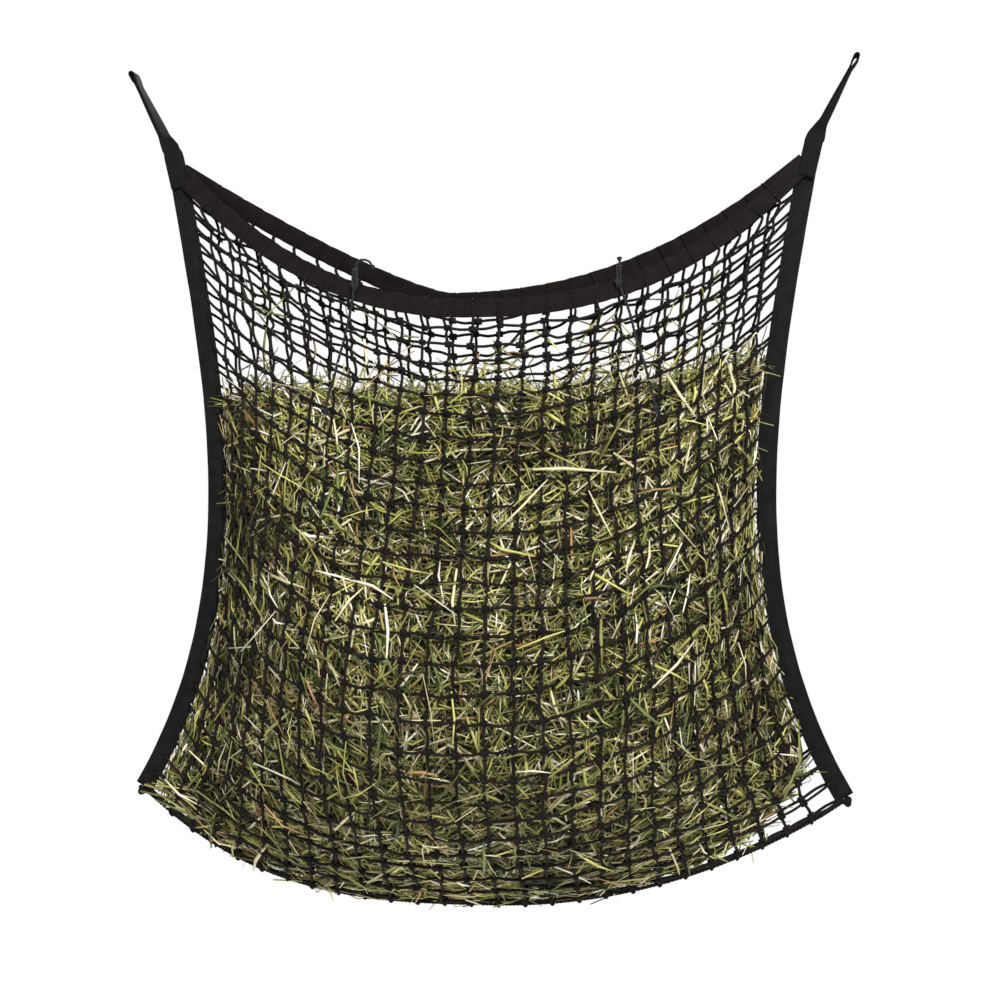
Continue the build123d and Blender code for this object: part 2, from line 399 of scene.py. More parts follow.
def webbing_material(name, dark, light, relief):
    """Woven tape: ribs across it that step at each warp end, darker in the grooves between ribs as painted
    shade, with dust and wear.
    """
    rib = 0.0016  # from one weft thread to the next
    made, tree, shader = material(name, 0.5, 0.07)
    vector, along, across, _ = lay_parts(tree)
    warp = math_node(tree, "SINE", math_node(tree, "MULTIPLY", across, 2 * math.pi / (1.3 * rib)))
    pick = math_node(tree, "MULTIPLY", along, 2 * math.pi / rib)
    weft = math_node(tree, "SINE", scaled(tree, warp, 1.2, pick))
    weave = scaled(tree, weft, 0.3, 0.5)
    wear = noise(tree, vector, 60, 4)
    # weave darkens the grooves between the ribs: painted shade; wear is the tape's own dust and wear
    shade = scaled(tree, weave, 0.35, math_node(tree, "MULTIPLY", wear, 0.65))
    tree.links.new(ramp(tree, shade, [(0.25, dark), (0.75, light)]), shader.inputs["Base Color"])
    tree.links.new(scaled(tree, wear, 0.2, 0.7), shader.inputs["Roughness"])
    bump(tree, shader, weave, relief, 0.0004)
    return made


def twine_material(name, dark, light, twist=0.007):
    """Twisted or braided cord: slanting strands, darker between them as painted shade."""
    made, tree, shader = material(name, 0.7, 0.1)
    vector, along, across, seed = lay_parts(tree)
    slant = math_node(tree, "MULTIPLY", across, 900)
    strand = math_node(tree, "SINE", scaled(tree, along, 2 * math.pi / twist, slant))
    strand = scaled(tree, strand, 0.5, 0.5)
    # strand darkens the grooves between the strands: painted shade
    shade = scaled(tree, noise(tree, vector, 40, 3), 0.4, math_node(tree, "MULTIPLY", strand, 0.4))
    shade = scaled(tree, seed, 0.2, shade)
    tree.links.new(ramp(tree, shade, [(0.2, dark), (0.8, light)]), shader.inputs["Base Color"])
    bump(tree, shader, strand, 0.6, 0.0004)
    return made


def stem_material(name, dark, light):
    """Dried grass: each stem its own shade, streaked and blotched, in lighter and darker drifts."""
    made, tree, shader = material(name, 0.55, 0.35)
    vector, _, across, seed = lay_parts(tree)
    blotch = noise(tree, vector, 55, 3)
    streak = math_node(tree, "SINE", math_node(tree, "MULTIPLY", across, 5200))
    drift = math_node(tree, "SUBTRACT", noise(tree, rest_position(tree), 7, 2), 0.5)
    # seed is each stem's own tone, set lower for stems deeper in the hay: painted shade
    shade = scaled(tree, blotch, 0.5, math_node(tree, "MULTIPLY", seed, 0.6))
    shade = scaled(tree, streak, 0.06, shade)
    shade = scaled(tree, drift, 1.1, shade)
    tree.links.new(ramp(tree, shade, [(0.15, dark), (0.85, light)]), shader.inputs["Base Color"])
    bump(tree, shader, blotch, 0.4, 0.0006)
    return made


def painted_shade_core_material():
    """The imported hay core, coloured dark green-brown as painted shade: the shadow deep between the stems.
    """
    made, tree, shader = material("hay_core_painted_shade", 0.9, 0.5)
    place = rest_position(tree)
    fine = noise(tree, place, 160, 5)
    stops = [(0.3, (0.004, 0.004, 0.001)), (0.55, (0.014, 0.013, 0.005)), (0.75, (0.05, 0.045, 0.016))]
    tree.links.new(ramp(tree, fine, stops), shader.inputs["Base Color"])
    bump(tree, shader, fine, 0.8, 0.003)
    return made


def floor_material():
    """Pale under the bag, and glowing as white as the surround further off."""
    made, tree, shader = material("floor", 0.9, 0.0)
    node = tree.nodes.new("ShaderNodeVectorMath")
    node.operation = "LENGTH"
    tree.links.new(rest_position(tree), node.inputs[0])
    far = math_node(tree, "SUBTRACT", node.outputs["Value"], 1.6)
    for near_level, far_level, socket in ((0.8, 0.0, "Base Color"), (0.3, 1.0, "Emission Color")):
        stops = [(0.05, (near_level,) * 3), (0.35, (far_level,) * 3)]
        tree.links.new(ramp(tree, far, stops), shader.inputs[socket])
    shader.inputs["Emission Strength"].default_value = 1.0
    return made


EDGE_WEBBING = webbing_material("edge_webbing", (0.002, 0.002, 0.002), (0.012, 0.012, 0.013), 0.4)
RIM_WEBBING = webbing_material("rim_webbing", (0.003, 0.002, 0.002), (0.013, 0.010, 0.009), 0.4)
STRAP_WEBBING = webbing_material("strap_webbing", (0.002, 0.002, 0.002), (0.010, 0.010, 0.010), 0.1)
THREAD = twine_material("sewing_thread", (0.006, 0.006, 0.006), (0.025, 0.024, 0.023), 0.0015)
NET_TWINE = twine_material("net_twine", (0.003, 0.0025, 0.002), (0.015, 0.012, 0.010))
LACING = twine_material("lacing_cord", (0.003, 0.0025, 0.002), (0.015, 0.012, 0.010), 0.010)
TIE = twine_material("tie_cord", (0.010, 0.010, 0.011), (0.036, 0.036, 0.038), 0.004)


# ---- camera, light and floor

def make_camera():
    """A level camera a little to the right of the middle, as far off as the picture needs."""
    look_at = Vector((0.018, 0, -0.628))
    distance, azimuth = 2.2, math.radians(5)
    data = bpy.data.cameras.new("camera")
    data.sensor_width = 36
    data.lens = 54.6
    data.clip_start = 0.01
    camera = bpy.data.objects.new("camera", data)
    bpy.context.scene.collection.objects.link(camera)
    away = Vector((math.sin(azimuth), -math.cos(azimuth), 0))
    camera.location = look_at + away * distance
    camera.rotation_euler = (-away).to_track_quat("-Z", "Y").to_euler()
    bpy.context.scene.camera = camera


def area_light(name, place, size, power):
    """A round lamp that points at the middle of the bag."""
    data = bpy.data.lights.new(name, "AREA")
    data.shape = "DISK"
    data.size = size
    data.energy = power
    light = bpy.data.objects.new(name, data)
    light.location = place
    target = Vector((0, 0, -0.65))
    light.rotation_euler = (target - light.location).to_track_quat("-Z", "Y").to_euler()
    bpy.context.scene.collection.objects.link(light)


def make_stage():
    """A plain pale floor, soft studio lights and a white surround."""
    mesh = bpy.data.meshes.new("floor")
    half, height = 14.0, -1.6
    corners = [(-half, -half, height), (half, -half, height), (half, half, height), (-half, half, height)]
    mesh.from_pydata(corners, [], [(0, 1, 2, 3)])
    mesh.materials.append(floor_material())
    floor = bpy.data.objects.new("floor", mesh)
    bpy.context.scene.collection.objects.link(floor)
    area_light("key", (1.2, -2.7, 1.3), 0.8, 155)
    area_light("fill", (-2.2, -2.4, 0.2), 2.0, 25)
    area_light("back", (0.8, 2.8, 1.2), 1.4, 130)
    make_surround(0.38)


def make_surround(strength):
    """A white surround that lights the object less brightly than it looks."""
    world = bpy.data.worlds.new("surround")
    world.use_nodes = True
    tree = world.node_tree
    background = tree.nodes["Background"]
    background.inputs["Color"].default_value = (1, 1, 1, 1)
    seen = tree.nodes.new("ShaderNodeLightPath").outputs["Is Camera Ray"]
    tree.links.new(scaled(tree, seen, 1 - strength, strength), background.inputs["Strength"])
    bpy.context.scene.world = world
    bpy.context.scene.view_settings.view_transform = "Standard"


# ---- the front mouth's strips

MOUTH_CUTS = (-0.36, -0.26, -0.13, 0.0, 0.13, 0.26, 0.36)  # where the front mouth's pieces are cut, in x
MOUTH_FADE = 0.24  # how far below the rim the mouth lines start at the cuts


def mouth_line(strip):
    """The points between which a strip goes over from the bag to the front mouth."""
    x = np.array([-RIM_LOW_END_X, *MOUTH_CUTS, RIM_LOW_END_X])
    z = net_top(FRONT, x / RIM_LOW_END_X)[:, 2]
    z[[0, -1]] += MOUTH_FADE
    slope = (z[strip + 1] - z[strip]) / (x[strip + 1] - x[strip])
    start = np.array([x[strip], 0, z[strip] - MOUTH_FADE])
    return start, start + MOUTH_FADE / (1 + slope**2) * np.array([-slope, 0, 1])


def keep_side(made, place, side):
    """Cuts a piece at x = place and keeps its right side, 1, or its left side, -1."""
    cut = bmesh.new()
    cut.from_mesh(made.data)
    whole = [*cut.verts, *cut.edges, *cut.faces]
    bmesh.ops.bisect_plane(
        cut, geom=whole, plane_co=(place, 0, 0), plane_no=(-side, 0, 0), clear_outer=True
    )
    cut.to_mesh(made.data)
    cut.free()


def bending_strips(name, shape, material, nodes):
    """A shape cut at the mouth cuts into strips, each its own piece, set in the world frame."""
    x = shape.points[:, 0][shape.faces]
    edges = [-math.inf, *MOUTH_CUTS, math.inf]
    for strip, (west, east) in enumerate(zip(edges, edges[1:])):
        faces = shape.faces[(x.max(1) > west) & (x.min(1) < east)]
        used, faces = np.unique(faces, return_inverse=True)
        part = Shape(shape.points[used], faces.reshape(-1, 4), shape.lay[used])
        made = piece(f"{name}_{strip + 1}", part, material, nodes)
        for place, side in ((west, 1), (east, -1)):
            if math.isfinite(place):
                keep_side(made, place, side)
        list(mouth_line(strip))
        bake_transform(made)


# ---- tie cords

TIE_DIAMETER = 0.0045
TIE_ROUTES = {
    "left": [
        (-0.190, -0.033, -0.320), (-0.193, -0.0342, -0.345), (-0.1985, -0.0346, -0.371),
        (-0.204, -0.0362, -0.398), (-0.2115, -0.0406, -0.425), (-0.216, -0.0484, -0.452),
        (-0.2225, -0.0574, -0.477), (-0.225, -0.0685, -0.500),
    ],
    "right": [
        (0.190, -0.033, -0.320), (0.199, -0.0342, -0.344), (0.2075, -0.0348, -0.368),
        (0.213, -0.036, -0.394), (0.2215, -0.042, -0.421), (0.2295, -0.050, -0.448),
        (0.2355, -0.0595, -0.475), (0.2425, -0.0705, -0.500),
    ],
}
TIE_TAILS = {  # from each hitch's centre: the left one bends over in a loop, the right one stands
    "left": [(0, 0, 0), (0.001, 0.001, 0.016), (0.004, 0.004, 0.032), (0.012, 0.006, 0.036),
             (0.021, 0.006, 0.033), (0.026, 0.004, 0.025)],
    "right": [(0, 0, 0), (0.001, 0.001, 0.014), (0.001, 0.004, 0.032)],
}


def nurbs_line(route):
    """The smooth line that a route's points control."""
    curve = bpy.data.curves.new("route", "CURVE")
    curve.dimensions = "3D"
    curve.resolution_u = 10
    spline = curve.splines.new("NURBS")
    spline.points.add(len(route) - 1)
    for point, place in zip(spline.points, route):
        point.co = (*place, 1)
    spline.order_u = 3
    spline.use_endpoint_u = True
    holder = bpy.data.objects.new("route", curve)
    mesh = bpy.data.meshes.new_from_object(holder)
    line = np.array([vertex.co for vertex in mesh.vertices], float)
    bpy.data.meshes.remove(mesh)
    bpy.data.curves.remove(curve)
    return line


def twisted(line, strands, diameter, lay_length):
    """A rope of strands laid round each other along a line."""
    length = distances(line)
    at = np.linspace(0, length[-1], max(8, int(length[-1] / lay_length * 8)))
    line = sampled(line, length, at)
    across, out = directions(line, (0, 1, 0))
    strand_radius = diameter * (0.32 if strands == 2 else 0.255)
    shapes = []
    for number in range(strands):
        angle = (at / lay_length + number / strands) * 2 * math.pi
        offset = across * np.cos(angle)[:, None] + out * np.sin(angle)[:, None]
        centre = line + offset * (diameter / 2 - strand_radius)
        shapes.append(tube(centre, strand_radius, (0, 1, 0), 6, number / strands))
    return joined(shapes)


def make_tie(side):
    """A thin cord hitched round the front rim, hanging down over the net to a stopper knot."""
    route = TIE_ROUTES[side]
    line = nurbs_line(route)
    cord = twisted(line, 2, TIE_DIAMETER, 0.011)
    cord = piece(f"{side}_tie", cord, TIE, [f"{side}_tie_cord"])
    end = np.array(route[-1]) + (0, 0, -0.002)
    stopper = knot_shape(end, 0.0125, 0.0022, 0.4)
    stopper = piece(f"{side}_tie_stopper", stopper, TIE, [f"{side}_tie_end_knot"])

    centre = np.array(route[0]) + (0, 0, 0.003)
    up, out = rim_directions(FRONT)
    turn_radius = TIE_DIAMETER * 0.36  # pulled tight, the cord is thinner
    hitch = []
    for shift in (-0.0022, 0.0022):
        here = centre + (shift, 0, 0)
        loop = [
            here - up * 0.006 + out * 0.001,
            here + up * 0.010 + out * 0.0025,
            here + up * 0.020 + out * 0.001,
            here + up * 0.0225 - out * 0.005,
            here + up * 0.014 - out * 0.0085,
            here - up * 0.004 - out * 0.0085,
            here - up * 0.0085 - out * 0.004,
        ]
        loop = smooth_line(loop, 6, closed=True)
        hitch.append(tube(loop, turn_radius, (1, 0, 0), 8, closed=True))
    hitch.append(knot_shape(centre, 0.0135, 0.0023, 0.9))
    tail = centre + np.array(TIE_TAILS[side])
    hitch.append(tube(smooth_line(tail, 8), turn_radius, (0, 1, 0.2), 8))
    hitch.append(knot_shape(tail[-1], 0.008, 0.0015, 0.2))
    hitch = piece(f"{side}_tie_hitch", joined(hitch), TIE, [f"{side}_tie_knot"])

    strip = int(np.searchsorted(MOUTH_CUTS, route[0][0]))
    for made in (cord, stopper, hitch):
        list(mouth_line(strip))
        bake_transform(made)


# ---- webbing

SEWN_LINE = 0.0088  # from a binding's middle line to each row of stitches


def flat_section(width, thickness, crown=0.0):
    """A tape's section: flat faces, rounded edges."""
    half, thick = width / 2, thickness / 2
    top = [(-half, 0), (-half + 0.0004, 0.7), (-half + 0.0014, 1.0), (-half / 2, 1 + crown / 2),
           (0, 1 + crown), (half / 2, 1 + crown / 2), (half - 0.0014, 1.0), (half - 0.0004, 0.7), (half, 0)]
    low = [(x, -y) for x, y in reversed(top[1:-1])]
    return np.array(top + low) * (1, thick)


def folded_section(width, thickness):
    """Tape folded over the nets' edges: a round outer edge, two sewn lines, a slot at the inner edge."""
    half = width / 2
    top = [(-half, 0), (-half + 0.0004, 0.55), (-half + 0.0015, 0.9), (-0.0105, 1.0), (-SEWN_LINE, 0.72),
           (-0.0070, 1.0), (-0.0022, 1.02), (-0.0009, 1.18), (0.0009, 1.18), (0.0022, 1.02), (0.0070, 1.0),
           (SEWN_LINE, 0.72), (0.0105, 0.98), (half - 0.0007, 0.9), (half, 0.6), (half - 0.0006, 0.25)]
    low = [(x, -y) for x, y in reversed(top[1:])]
    return np.array(top + [(half - 0.005, 0.0)] + low) * (1, thickness / 2)


def waver(rng, count, knots, size):
    """A smooth random wander along a piece."""
    return np.interp(np.linspace(0, knots, count), np.arange(knots + 1), rng.normal(0, size, knots + 1))


def stitch_line(line, out, spacing=0.0036, length=0.0026, radius=0.00045):
    """A row of short raised stitches along a line."""
    along = distances(line)
    shapes = []
    for start in np.arange(spacing, along[-1] - spacing, spacing):
        ends = [start, start + length / 2, start + length]
        points, outs = sampled(line, along, ends), sampled(out, along, ends)
        points = points + outs * np.array([(-0.0002,), (0.0002,), (-0.0002,)])
        shapes.append(tube(points, radius, outs, 4))
    return shapes


def make_binding(side, sign, rng):
    """The webbing sewn over the nets' edges at one side."""
    count = 150
    t = np.linspace(0.01, 1, count)
    centre, inner = side_point(t, 0), side_point(t, 1)
    line = np.stack([sign * centre[:, 0], waver(rng, count, 16, 0.0007), centre[:, 1]], -1)
    inward = np.stack([sign * (inner - centre)[:, 0], 0 * t, (inner - centre)[:, 1]], -1)
    out = np.broadcast_to(np.array([0.0, -1, 0]), line.shape)
    width = 1 + waver(rng, count, 40, 0.012)
    scale = np.stack([width, 1 + waver(rng, count, 40, 0.04)], -1)
    section = folded_section(BAND_WIDTH, 0.005) * scale[:, None]
    band = sweep(line, inward, out, section)
    made = piece(f"{side}_binding_webbing", band, EDGE_WEBBING, [f"{side}_side_binding"])
    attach(made, "bag")
    stitches = []
    for face in (-1, 1):
        for across in (-SEWN_LINE, SEWN_LINE):
            row = line + inward * across + np.array([0, face * 0.00195, 0])
            stitches += stitch_line(row, np.broadcast_to(np.array([0.0, face, 0]), row.shape))
    made = piece(f"{side}_binding_stitching", joined(stitches), THREAD)
    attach(made, "bag")


def make_rim(panel, rng):
    """A rim's webbing, drawn in a little where each net loop goes round it."""
    count = 360
    x = np.linspace(-RIM_SEWN_X, RIM_SEWN_X, count)
    line = rim_point(panel, x, rim_height(panel, x, 0), RIM_THICKNESS / 2)
    slope = rim_curve(panel, x)[1]
    up, out = rim_directions(panel)
    sewn = smoothstep((np.abs(x) - 0.415) / 0.03)[:, None]  # where the ends lie flat on the bindings
    upward = up * np.where([False, True, False], 1 - sewn, 1)
    across = unit(upward - slope[:, None] * EAST)
    pinch = (0.5 + 0.5 * np.cos((x / RIM_LOW_END_X + 1) * math.pi * COLUMNS)) ** 4
    pinch = np.where(np.abs(x) > 0.97 * RIM_LOW_END_X, 0, pinch)
    width = 0.975 - 0.045 * pinch + waver(rng, count, 50, 0.006)
    cup = 0.0006 * (1 - pinch) + waver(rng, count, 60, 0.0003)
    line = line + out * (cup[:, None] + 0.0010 * sewn)
    section = flat_section(BAND_WIDTH, RIM_THICKNESS, 0.2)[None] * np.stack([width, 0 * x + 1], -1)[:, None]
    band = sweep(line, across, np.broadcast_to(out, line.shape), section)
    if panel is FRONT:
        bending_strips("front_rim", band, RIM_WEBBING, ["front_rim_webbing"])
    else:
        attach(piece("back_rim", band, RIM_WEBBING, ["back_rim_webbing"]), "bag")


def strap_line(sign):
    """Centres of the strap's stations from the eye to the sewn end's foot, with the directions
    of its thickness and its width."""
    eye, fold = np.array([sign * EYE_X, 0, 0]), np.array([sign * CORNER_X, 0, HINGE_Z])
    foot = np.array([sign * (CORNER_X - TAB_LEAN), 0, HINGE_Z - TAB_LENGTH])
    upper = np.linspace(0.07, 1, 44)[:, None]
    lower = np.linspace(0, 1, 16)[1:, None]
    line = np.concatenate([eye + (fold - eye) * upper, fold + (foot - fold) * lower])
    along = unit(np.gradient(line, axis=0))
    down = np.minimum(-line[:, 2] / -HINGE_Z, 1.1)
    turn = 0.06 + 0.34 * smoothstep(down / 0.8) + (math.pi / 2 - 0.4) * smoothstep((down - 0.74) / 0.3)
    flat = np.cross(along, (0, 1.0, 0))
    thick = flat * np.cos(turn)[:, None] + np.array([0, -1.0, 0]) * np.sin(turn)[:, None]
    return line, unit(thick), unit(np.cross(along, thick))


def make_strap(side, sign):
    """One length of webbing, doubled through its eye and sewn on both sides of the corner."""
    line, thick, wide = strap_line(sign)
    share = np.linspace(0, 1, len(line))
    apart = 0.0013 + 0.0074 * smoothstep((share - 0.64) / 0.14)
    apart[:3] = (0.0028, 0.0020, 0.0015)
    angle = np.linspace(-0.15, math.pi + 0.15, 13)
    eye = np.array([sign * EYE_X, 0, 0])
    toward = unit(line[0] - eye)
    beside, beyond = thick[0] * np.cos(angle)[:, None], -toward * np.sin(angle)[:, None]
    arc, loop = beside + beyond, eye + 0.0033 * beside + 0.0045 * beyond
    path = np.concatenate([(line + thick * apart[:, None])[::-1], loop, line - thick * apart[:, None]])
    outs = np.concatenate([thick[::-1], arc, -thick])
    widths = np.concatenate([wide[::-1], np.broadcast_to(wide[0], arc.shape), wide])
    band = sweep(path, widths, outs, flat_section(0.025, 0.0024))
    made = piece(f"{side}_strap", band, STRAP_WEBBING,
                 [f"{side}_hanging_strap", f"{side}_strap_tab"])
    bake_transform(made)

    stitches = []
    rows = slice(len(line) - 13, len(line) - 1)  # the box of stitches, crossed from corner to corner
    edge = 0.0095
    surface = 0.00135  # from a ply's centre
    slants = [np.linspace(start, -start, 12)[:, None] for start in (-edge, edge)]
    for face in (1, -1):
        lift = (apart[rows] + surface)[:, None] * face
        for across in (-edge, edge, *slants):
            row = line[rows] + thick[rows] * lift + wide[rows] * across
            stitches += stitch_line(row, thick[rows] * face)
        for end in (rows.start, rows.stop - 1):
            row = line[end] + thick[end] * (apart[end] + surface) * face + wide[end] * slants[0]
            stitches += stitch_line(row, np.broadcast_to(thick[end] * face, row.shape))
    made = piece(f"{side}_strap_stitching", joined(stitches), THREAD)
    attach(made, "bag")


# ---- netting

def knot_places(panel, rng):
    """u and v of every knot, evenly spaced along the twine and then disturbed a little."""
    fine, across = np.linspace(0, 1, 600), np.linspace(-1, 1, 600)
    heights = SLACK_ROW + (1.04 - SLACK_ROW) * smoothstep((np.arange(ROWS) - 3) / 4)
    heights[0] *= FIRST_ROW
    shares = np.append(0, np.cumsum(heights)) / heights.sum()
    rows = along_line(net_point(panel, 0 * fine, fine), fine, shares)
    even = np.linspace(0, 1, COLUMNS + 1)
    u = np.array([along_line(net_point(panel, across, row), across, even) for row in rows])
    v = np.broadcast_to(rows[:, None], u.shape).copy()
    slack = 1 + 0.5 * smoothstep((0.25 - v) / 0.2)
    inside = (np.abs(u) < 0.999) & (v > 0.001) & (v < 0.999)
    u = u + inside * rng.normal(0, 0.0032, u.shape) * slack
    v = v + inside * rng.normal(0, 0.0022, v.shape) * slack
    drift = np.sin(u * 7.0 + 2.1) * np.sin(v * 9.0 + 0.7) * 0.003
    return np.clip(u, -1, 1), np.clip(v + inside * drift, 0, 1)


def strand(knots, outs, rng, bow, seed):
    """One twine through a row or column of knots, bowed a little between them."""
    middle = (knots[1:] + knots[:-1]) / 2
    along = unit(knots[1:] - knots[:-1])
    out = unit(outs[1:] + outs[:-1])
    side = np.cross(along, out)
    count = len(middle)
    middle = middle + side * rng.normal(0, bow, (count, 1)) + out * rng.normal(0.0006, 0.0012, (count, 1))
    middle[:, 2] -= 0.0012 * (1 - np.abs(along[:, 2]))
    line = np.empty((len(knots) + count, 3))
    line[0::2], line[1::2] = knots, middle
    dense = smooth_line(line, 3)
    reference = smooth_line(np.repeat(outs, 2, axis=0)[:-1], 3)
    return tube(dense, TWINE_RADIUS, reference, 6, seed)


def knot_template():
    """Two small rings crossed over a point, in the plane (across, down, out)."""
    shapes = []
    for tilt in (0.65, -0.65):
        angle = np.arange(8) * math.pi / 4
        ring = np.stack([np.cos(angle) * 0.0031, 0 * angle, np.sin(angle) * 0.0027], -1)
        cosine, sine = math.cos(tilt), math.sin(tilt)
        ring = ring @ np.array([(cosine, sine, 0), (-sine, cosine, 0), (0, 0, 1)])
        shapes.append(tube(ring, 0.0018, (sine, -cosine, 0.01), 4, closed=True))
    return joined(shapes)


def copies(template, centres, axes, sizes, rng):
    """The template set down once at each centre, in that centre's own axes."""
    points = np.einsum("kj,njc->nkc", template.points, axes * sizes[:, None, None]) + centres[:, None]
    starts = np.arange(len(centres))[:, None, None] * len(template.points)
    lay = np.broadcast_to(template.lay, (len(centres), *template.lay.shape)).copy()
    lay[..., 2] = rng.random((len(centres), 1))
    return Shape(points.reshape(-1, 3), (template.faces + starts).reshape(-1, 4), lay.reshape(-1, 3))


def rim_loop(panel, x, knot, rng):
    """A net loop that goes round the rim's webbing and comes together at the first knot below."""
    up, out = rim_directions(panel)
    slope = float(rim_curve(panel, np.array(x))[1])
    across = unit(up - slope * EAST)
    along = unit(EAST + slope * up)
    centre = rim_point(panel, x, rim_height(panel, np.array(x), 0))
    outer, inner = RIM_THICKNESS + 0.0016, -0.0012
    half = BAND_WIDTH / 2
    lean = along * rng.normal(0, 0.002)
    loop = [
        knot + out * 0.001,
        centre + out * outer - across * (half + 0.002) - lean,
        centre + out * outer,
        centre + out * outer + across * (half - 0.002) + lean,
        centre + out * (RIM_THICKNESS / 2) + across * (half - 0.0014) + lean * 1.3,
        centre + out * inner + across * (half - 0.002) + lean,
        centre + out * inner,
        centre + out * inner - across * (half + 0.002) - lean,
    ]
    line = smooth_line(loop, 4, closed=True)
    height = (line - centre) @ across
    radius = TWINE_RADIUS * (0.95 - 0.4 * smoothstep((height + half) / half))
    return tube(line, radius, along, 6, rng.random(), closed=True)


def lacing_loop(panel, u, knot, rng):
    """A net's last loop, held by the cord laced along the bottom."""
    centre = net_bottom(u) - (0, 0, LACING_DROP)
    reach = LACING_RADIUS + TWINE_RADIUS * 0.5
    angle = np.linspace(-0.9, math.pi + 0.9, 7)
    ring = np.stack([0 * angle, -panel.facing * np.cos(angle) * reach, -np.sin(angle) * reach], -1)
    slant = np.linspace(-1, 1, 7)[:, None] * 0.004 * EAST * rng.choice([-1, 1])
    loop = np.concatenate([[knot], centre + ring + slant])
    line = smooth_line(loop, 4, closed=True)
    return tube(line, TWINE_RADIUS * 0.85, (1, 0, 0.001), 6, rng.random(), closed=True)


def make_net(panel, rng):
    """One panel: its twines, its knots and the loops that hold it to the rim and the lacing."""
    u, v = knot_places(panel, rng)
    places = net_point(panel, u, v, 0.0015)
    east, down, outs = net_frames(panel, u, v)
    places += outs * np.abs(rng.normal(0, 0.0014, (*u.shape, 1))) * (v > 0.001)[..., None]
    shapes = []
    for row in range(1, ROWS + 1):
        knots, out = places[row].copy(), outs[row]
        knots[0] += (knots[0] - knots[1]) * 0.3
        knots[-1] += (knots[-1] - knots[-2]) * 0.3
        knots[[0, -1], 1] = panel.facing * 0.0012
        shapes.append(strand(knots, out, rng, 0.0016, rng.random()))
    for column in range(1, COLUMNS):
        shapes.append(strand(places[1:, column], outs[1:, column], rng, 0.0016, rng.random()))
    twine = joined(shapes)

    inner = (slice(1, None), slice(1, COLUMNS))
    centres = places[inner].reshape(-1, 3)
    axes = np.stack([east[inner], down[inner], outs[inner]], -2).reshape(-1, 3, 3)
    sizes = rng.uniform(1.25, 1.6, len(centres))
    knots = copies(knot_template(), centres, axes, sizes, rng)
    loops = [rim_loop(panel, RIM_LOW_END_X * u[0, i], places[1, i], rng) for i in range(1, COLUMNS)]
    loops = joined(loops)
    hems = [lacing_loop(panel, u[ROWS, i], places[ROWS, i], rng) for i in range(1, COLUMNS)]
    hems = piece(f"{panel.name}_hem_loops", joined(hems), NET_TWINE)
    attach(hems, "bag")
    if panel is FRONT:
        whole = joined([twine, knots, loops])
        bending_strips("front_net", whole, NET_TWINE, ["front_net"])
    else:
        for part, shape in (("twine", twine), ("knots", knots), ("rim_loops", loops)):
            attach(piece(f"back_net_{part}", shape, NET_TWINE, ["back_net"]), "bag")


def make_lacing():
    """A three-strand cord along the nets' bottom edges, knotted at both ends."""
    corner = side_point(1, 0)
    u = np.linspace(-0.965, 0.965, 60)
    line = net_bottom(u) - (0, 0, LACING_DROP)
    ends = np.array([corner[0] - 0.001, 0, corner[1] - 0.005])
    line = smooth_line(np.concatenate([[ends * (-1, 1, 1)], line, [ends]]), 8)
    made = piece("bottom_lacing", twisted(line, 3, 2 * LACING_RADIUS, 0.017), LACING,
                 ["bottom_lacing_cord"])
    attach(made, "bag")
    for side, sign in (("left", -1), ("right", 1)):
        low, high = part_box(f"{side}_lacing_knot")
        centre = np.array((low + high) / 2)
        knot = knot_shape(centre, 0.0165, 0.0029, sign * 0.5)
        made = piece(f"{side}_lacing_end_knot", knot, LACING, [f"{side}_lacing_knot"])
        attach(made, "bag")


# ---- hay

HAY_COLOURS = {  # name: dark shade, light shade, share of the stems
    "straw": ((0.17, 0.14, 0.05), (0.80, 0.72, 0.44), 0.17),
    "yellow_green": ((0.09, 0.09, 0.018), (0.62, 0.60, 0.18), 0.25),
    "olive": ((0.04, 0.042, 0.008), (0.33, 0.33, 0.08), 0.23),
    "green": ((0.015, 0.025, 0.006), (0.16, 0.20, 0.05), 0.13),
    # pale bleached stems, coloured near white also as a painted highlight
    "cream_highlight": ((0.45, 0.41, 0.27), (0.95, 0.91, 0.74), 0.08),
    "brown": ((0.07, 0.035, 0.012), (0.42, 0.24, 0.10), 0.06),
    "shadow": ((0.006, 0.007, 0.003), (0.04, 0.042, 0.015), 0.08),
}


def hay_top(u):
    """The height the stems heap up from, a little below the hay's top, which rises to the right."""
    return HAY_TOP_Z - 0.008 + HAY_RISE * np.clip(u, 0, 1) ** 3


def hay_low(u):
    """v at the hay's bottom: it leaves the right lower corner of the net empty."""
    return 0.999 - 0.012 * np.abs(u) ** 8 - 0.10 * np.clip(u, 0, 1) ** 7


def hay_start(panel, u):
    """v at the hay's top for each u in a row."""
    v = np.linspace(0, 0.9, 300)
    columns = -net_point(panel, u[:, None], v)[..., 2]
    return np.array([np.interp(depth, column, v) for depth, column in zip(-hay_top(u), columns)])


def hay_places(panel, count, rng):
    """Places on a net's inner side where hay lies, spread evenly by area."""
    u = rng.uniform(-0.995, 0.995, count * 5)
    table = np.linspace(-1, 1, 201)
    top, low = np.interp(u, table, hay_start(panel, table)), hay_low(u)
    v = top + (low - top) * rng.random(len(u))
    u = np.minimum(u, 0.995 - 0.09 * smoothstep((v - 0.80) / 0.2) * rng.random(len(u)))
    step = 1e-3
    east = net_point(panel, u + step, v) - net_point(panel, u - step, v)
    down = net_point(panel, u, v + step) - net_point(panel, u, v - step)
    area = np.linalg.norm(np.cross(east, down), axis=1) * (low - top)
    chosen = rng.choice(len(u), count, replace=False, p=area / area.sum())
    return u[chosen], v[chosen]


